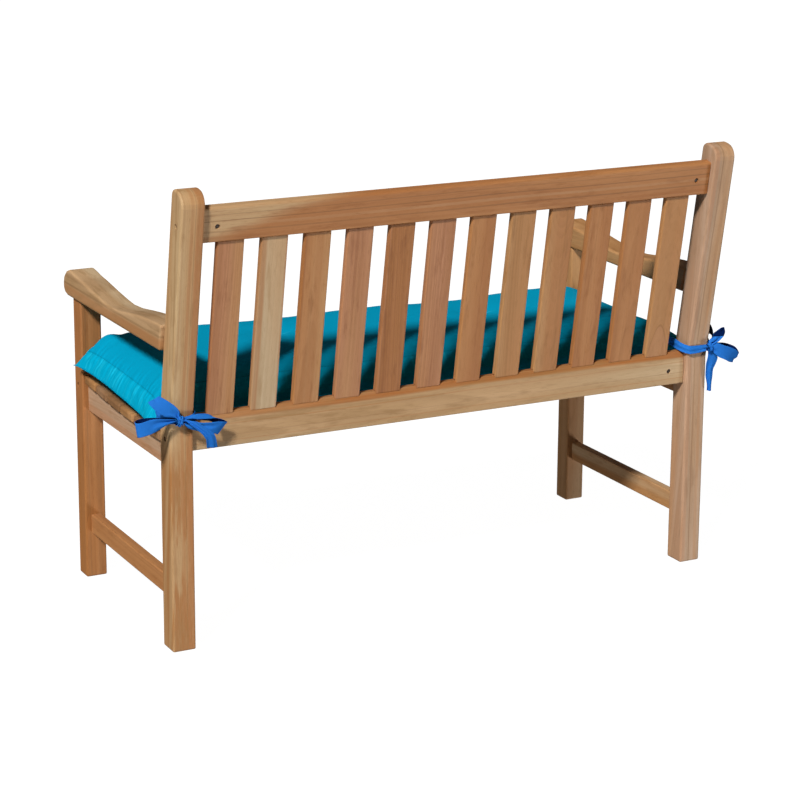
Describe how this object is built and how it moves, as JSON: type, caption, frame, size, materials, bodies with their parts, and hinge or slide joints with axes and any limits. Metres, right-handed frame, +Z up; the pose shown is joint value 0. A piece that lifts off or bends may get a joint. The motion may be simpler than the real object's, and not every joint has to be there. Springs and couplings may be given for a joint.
{
  "type": "bench cushion tied on a garden bench",
  "caption": "Filled turquoise seat cushion tied with ribbon bows round the rear posts of a slatted wooden garden bench with arm rests.",
  "frame": {"origin": "on the floor, under the centre of the bounding box of the bench with its tied cushion", "axes": "+X along the bench's length, to the left of somebody behind it; +Y towards the rear of the bench; +Z up"},
  "size_m": [1.3635, 0.6222, 0.9053],
  "materials": {
    "cushion_cloth": "plain weave outdoor cloth, matt with a faint sheen",
    "tie_ribbon": "plain weave ribbon, matt",
    "wood_post": "sanded unvarnished hardwood",
    "wood_side": "sanded unvarnished hardwood",
    "wood_rail": "sanded unvarnished hardwood",
    "wood_back_slat": "sanded unvarnished hardwood",
    "wood_seat_slat": "sanded unvarnished hardwood"
  },
  "bodies": {
    "root": {"seat_cushion": "cushion_cloth", "tie_left": "tie_ribbon", "tie_right": "tie_ribbon", "rear_post_left": "wood_post", "rear_post_right": "wood_post", "front_leg_left": "wood_post", "front_leg_right": "wood_post", "arm_rest_left": "wood_side", "arm_rest_right": "wood_side", "side_seat_rail_left": "wood_side", "side_seat_rail_right": "wood_side", "side_stretcher_left": "wood_side", "side_stretcher_right": "wood_side", "top_rail": "wood_rail", "lower_back_rail": "wood_rail", "front_seat_rail": "wood_rail", "back_slat_01": "wood_back_slat", "back_slat_02": "wood_back_slat", "back_slat_03": "wood_back_slat", "back_slat_04": "wood_back_slat", "back_slat_05": "wood_back_slat", "back_slat_06": "wood_back_slat", "back_slat_07": "wood_back_slat", "back_slat_08": "wood_back_slat", "back_slat_09": "wood_back_slat", "back_slat_10": "wood_back_slat", "back_slat_11": "wood_back_slat", "back_slat_12": "wood_back_slat", "seat_slat_1": "wood_seat_slat", "seat_slat_2": "wood_seat_slat", "seat_slat_3": "wood_seat_slat", "seat_slat_4": "wood_seat_slat", "seat_slat_5": "wood_seat_slat", "seat_slat_6": "wood_seat_slat", "seat_slat_7": "wood_seat_slat"}
  },
  "joints": []
}
